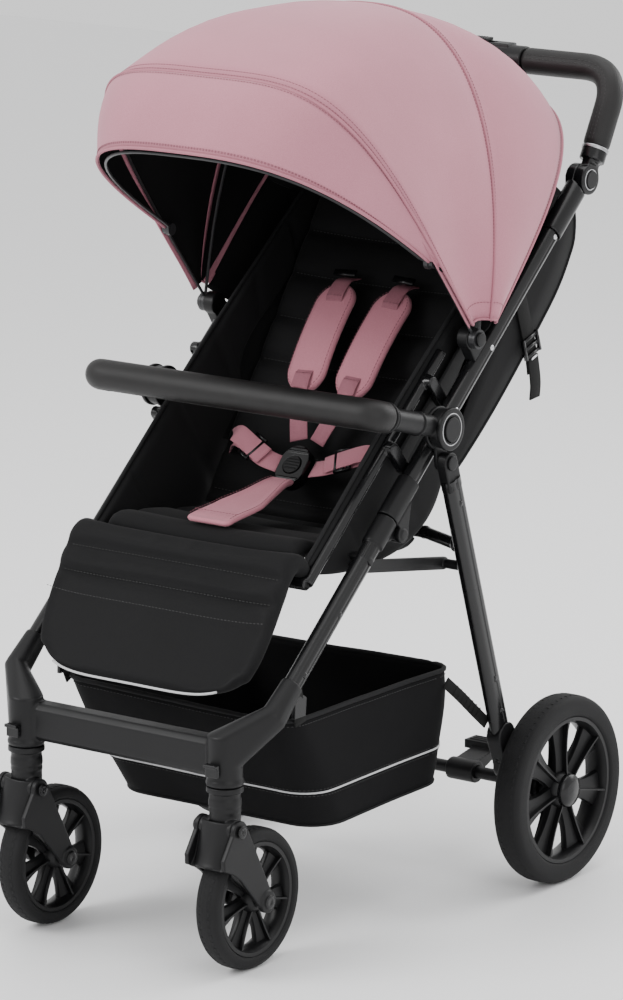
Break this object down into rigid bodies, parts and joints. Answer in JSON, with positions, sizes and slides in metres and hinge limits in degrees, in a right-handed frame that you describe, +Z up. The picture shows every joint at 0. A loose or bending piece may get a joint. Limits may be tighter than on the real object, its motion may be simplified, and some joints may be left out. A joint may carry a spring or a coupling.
{
  "type": "baby stroller",
  "caption": "Folding baby stroller: tube frame, quilted seat with harness, padded bumper bar, arched canopy with visor, storage basket, swivel casters and braked rear wheels.",
  "frame": {"origin": "on the ground, under the middle of the stroller's overall box", "axes": "+X across the stroller to the near side of the usual three-quarter view, -Y forward in the direction of travel, +Z up"},
  "size_m": [0.544, 0.7991, 1.0934],
  "materials": {
    "frame_black": "satin black anodised tube",
    "moulded_black": "fine-grained moulded plastic",
    "wheel_black": "satin moulded wheel centre",
    "tyre": "foam rubber tread",
    "grip": "stitched leatherette over foam",
    "seat_fabric": "black woven polyester, quilted",
    "canopy_fabric": "dusty pink melange polyester",
    "harness_fabric": "dusty pink padded webbing",
    "basket_fabric": "black polyester",
    "webbing_black": "black webbing",
    "bow_steel": "black coated steel wire"
  },
  "bodies": {
    "root": {"pusher_tube_left": "frame_black", "pusher_tube_right": "frame_black", "sleeves": "moulded_black", "hub_left": "moulded_black", "hub_right": "moulded_black", "handle_joints": "moulded_black", "canopy_clips": "moulded_black", "seat_frame": "frame_black", "seat_base": "seat_fabric", "side_wings": "seat_fabric", "canopy_rear": "canopy_fabric", "crotch_harness": "harness_fabric", "buckle": "moulded_black"},
    "buckle_button": {"buckle_button": "moulded_black"},
    "backrest": {"backrest": "seat_fabric", "back_shell": "seat_fabric", "shoulder_harness": "harness_fabric", "recline_strap": "webbing_black"},
    "front_frame": {"front_leg_left": "frame_black", "front_leg_right": "frame_black", "front_bridge": "moulded_black"},
    "caster_left": {"caster_stem_left": "moulded_black"},
    "caster_right": {"caster_stem_right": "moulded_black"},
    "fork_left": {"caster_fork_left": "moulded_black"},
    "fork_right": {"caster_fork_right": "moulded_black"},
    "front_wheel_left": {"front_rim_left": "wheel_black", "front_tyre_left": "tyre"},
    "front_wheel_right": {"front_rim_right": "wheel_black", "front_tyre_right": "tyre"},
    "swivel_lock_left": {"swivel_lock_left": "moulded_black"},
    "swivel_lock_right": {"swivel_lock_right": "moulded_black"},
    "rear_frame": {"rear_leg_left": "frame_black", "rear_leg_right": "frame_black", "rear_cross_bar": "frame_black", "rear_axle": "moulded_black", "basket": "basket_fabric", "basket_straps": "webbing_black"},
    "rear_wheel_left": {"rear_rim_left": "wheel_black", "rear_tyre_left": "tyre"},
    "rear_wheel_right": {"rear_rim_right": "wheel_black", "rear_tyre_right": "tyre"},
    "brake_pedal": {"brake_pedal": "moulded_black"},
    "braces": {"brace_left": "frame_black", "brace_right": "frame_black"},
    "handle": {"handle_tube": "frame_black", "handle_grip": "grip", "handle_module": "moulded_black"},
    "fold_trigger": {"fold_trigger": "moulded_black"},
    "fold_slider": {"fold_slider": "moulded_black"},
    "tilt_button_left": {"tilt_button_left": "moulded_black"},
    "tilt_button_right": {"tilt_button_right": "moulded_black"},
    "bumper_bar": {"bumper_bar": "grip"},
    "bumper_button_left": {"bumper_button_left": "moulded_black"},
    "bumper_button_right": {"bumper_button_right": "moulded_black"},
    "canopy_front": {"canopy_bow_front": "bow_steel", "canopy_front": "canopy_fabric", "visor": "canopy_fabric"},
    "canopy_middle": {"canopy_bow_middle": "bow_steel"},
    "visor_wire": {"visor_wire": "bow_steel"},
    "footrest": {"footrest": "seat_fabric"}
  },
  "joints": [
    {"name": "fold", "type": "hinge", "parent": "root", "child": "front_frame", "pos_m": [0, -0.08, 0.485], "axis": [1, 0, 0], "range_deg": [0, 126], "deforming": ["basket", "basket_straps"]},
    {"name": "rear_fold", "type": "hinge", "parent": "root", "child": "rear_frame", "pos_m": [0, -0.004, 0.56], "axis": [1, 0, 0], "range_deg": [0, 65]},
    {"name": "brace_fold", "type": "hinge", "parent": "front_frame", "child": "braces", "pos_m": [0, -0.135, 0.452], "axis": [1, 0, 0], "range_deg": [-90, 0]},
    {"name": "caster_swivel_left", "type": "hinge", "parent": "front_frame", "child": "caster_left", "pos_m": [-0.149, -0.357, 0.262], "axis": [0, 0, 1], "continuous": true},
    {"name": "fork_spring_left", "type": "hinge", "parent": "caster_left", "child": "fork_left", "pos_m": [-0.149, -0.366, 0.182], "axis": [1, 0, 0], "range_deg": [0, 8], "stiffness_Nm_per_rad": 60, "springref_deg": -6.88},
    {"name": "front_wheel_spin_left", "type": "hinge", "parent": "fork_left", "child": "front_wheel_left", "pos_m": [-0.149, -0.314, 0.085], "axis": [1, 0, 0], "continuous": true},
    {"name": "swivel_lock_slide_left", "type": "slide", "parent": "front_frame", "child": "swivel_lock_left", "axis": [0, 0, 1], "range_m": [0, 0.006], "stiffness_N_per_m": 20, "springref_m": -0.002},
    {"name": "caster_swivel_right", "type": "hinge", "parent": "front_frame", "child": "caster_right", "pos_m": [0.149, -0.357, 0.262], "axis": [0, 0, 1], "continuous": true},
    {"name": "fork_spring_right", "type": "hinge", "parent": "caster_right", "child": "fork_right", "pos_m": [0.149, -0.366, 0.182], "axis": [1, 0, 0], "range_deg": [0, 8], "stiffness_Nm_per_rad": 60, "springref_deg": -6.88},
    {"name": "front_wheel_spin_right", "type": "hinge", "parent": "fork_right", "child": "front_wheel_right", "pos_m": [0.149, -0.314, 0.085], "axis": [1, 0, 0], "continuous": true},
    {"name": "swivel_lock_slide_right", "type": "slide", "parent": "front_frame", "child": "swivel_lock_right", "axis": [0, 0, 1], "range_m": [0, 0.006], "stiffness_N_per_m": 20, "springref_m": -0.002},
    {"name": "rear_wheel_spin_left", "type": "hinge", "parent": "rear_frame", "child": "rear_wheel_left", "pos_m": [-0.248, 0.1895, 0.118], "axis": [1, 0, 0], "continuous": true},
    {"name": "rear_wheel_spin_right", "type": "hinge", "parent": "rear_frame", "child": "rear_wheel_right", "pos_m": [0.248, 0.1895, 0.118], "axis": [1, 0, 0], "continuous": true},
    {"name": "brake_press", "type": "hinge", "parent": "rear_frame", "child": "brake_pedal", "pos_m": [0.108, 0.1895, 0.118], "axis": [1, 0, 0], "range_deg": [-25, 0]},
    {"name": "handle_tilt", "type": "hinge", "parent": "root", "child": "handle", "pos_m": [0, 0.312, 0.858], "axis": [1, 0, 0], "range_deg": [-60, 20]},
    {"name": "fold_trigger_squeeze", "type": "slide", "parent": "handle", "child": "fold_trigger", "axis": [0, 0, 1], "range_m": [0, 0.007], "stiffness_N_per_m": 300, "springref_m": -0.003},
    {"name": "fold_slider_push", "type": "slide", "parent": "handle", "child": "fold_slider", "axis": [1, 0, 0], "range_m": [0, 0.01], "stiffness_N_per_m": 200, "springref_m": -0.002},
    {"name": "tilt_button_press_left", "type": "slide", "parent": "handle", "child": "tilt_button_left", "axis": [1, 0, 0], "range_m": [0, 0.002], "stiffness_N_per_m": 400, "springref_m": -0.002},
    {"name": "bumper_button_press_left", "type": "slide", "parent": "root", "child": "bumper_button_left", "axis": [1, 0, 0], "range_m": [0, 0.0022], "stiffness_N_per_m": 400, "springref_m": -0.002},
    {"name": "tilt_button_press_right", "type": "slide", "parent": "handle", "child": "tilt_button_right", "axis": [-1, 0, 0], "range_m": [0, 0.002], "stiffness_N_per_m": 400, "springref_m": -0.002},
    {"name": "bumper_button_press_right", "type": "slide", "parent": "root", "child": "bumper_button_right", "axis": [-1, 0, 0], "range_m": [0, 0.0022], "stiffness_N_per_m": 400, "springref_m": -0.002},
    {"name": "bumper_tilt", "type": "hinge", "parent": "root", "child": "bumper_bar", "pos_m": [0, -0.011, 0.603], "axis": [1, 0, 0], "range_deg": [-45, 0]},
    {"name": "canopy_fold", "type": "hinge", "parent": "root", "child": "canopy_front", "pos_m": [0, 0.07, 0.697], "axis": [1, 0, 0], "range_deg": [-70, 0], "deforming": ["canopy_front", "canopy_rear"]},
    {"name": "canopy_middle_fold", "type": "hinge", "parent": "root", "child": "canopy_middle", "pos_m": [0, 0.07, 0.697], "axis": [1, 0, 0], "range_deg": [-32, 0]},
    {"name": "visor_flip", "type": "hinge", "parent": "canopy_front", "child": "visor_wire", "pos_m": [0, -0.015, 0.801], "axis": [1, 0, 0], "range_deg": [-30, 0], "deforming": ["visor"]},
    {"name": "recline", "type": "hinge", "parent": "root", "child": "backrest", "pos_m": [0, -0.017, 0.462], "axis": [1, 0, 0], "range_deg": [-20, 0]},
    {"name": "footrest_tilt", "type": "hinge", "parent": "root", "child": "footrest", "pos_m": [0, -0.221, 0.447], "axis": [1, 0, 0], "range_deg": [-25, 0]},
    {"name": "buckle_button_press", "type": "slide", "parent": "root", "child": "buckle_button", "axis": [0, 0.7431, -0.6691], "range_m": [0, 0.002], "stiffness_N_per_m": 400, "springref_m": -0.002}
  ],
  "couplings": [
    {"joint": "rear_fold", "follows": "fold", "ratio": 0.5071},
    {"joint": "brace_fold", "follows": "fold", "ratio": -0.7056},
    {"joint": "canopy_middle_fold", "follows": "canopy_fold", "ratio": 0.45}
  ]
}
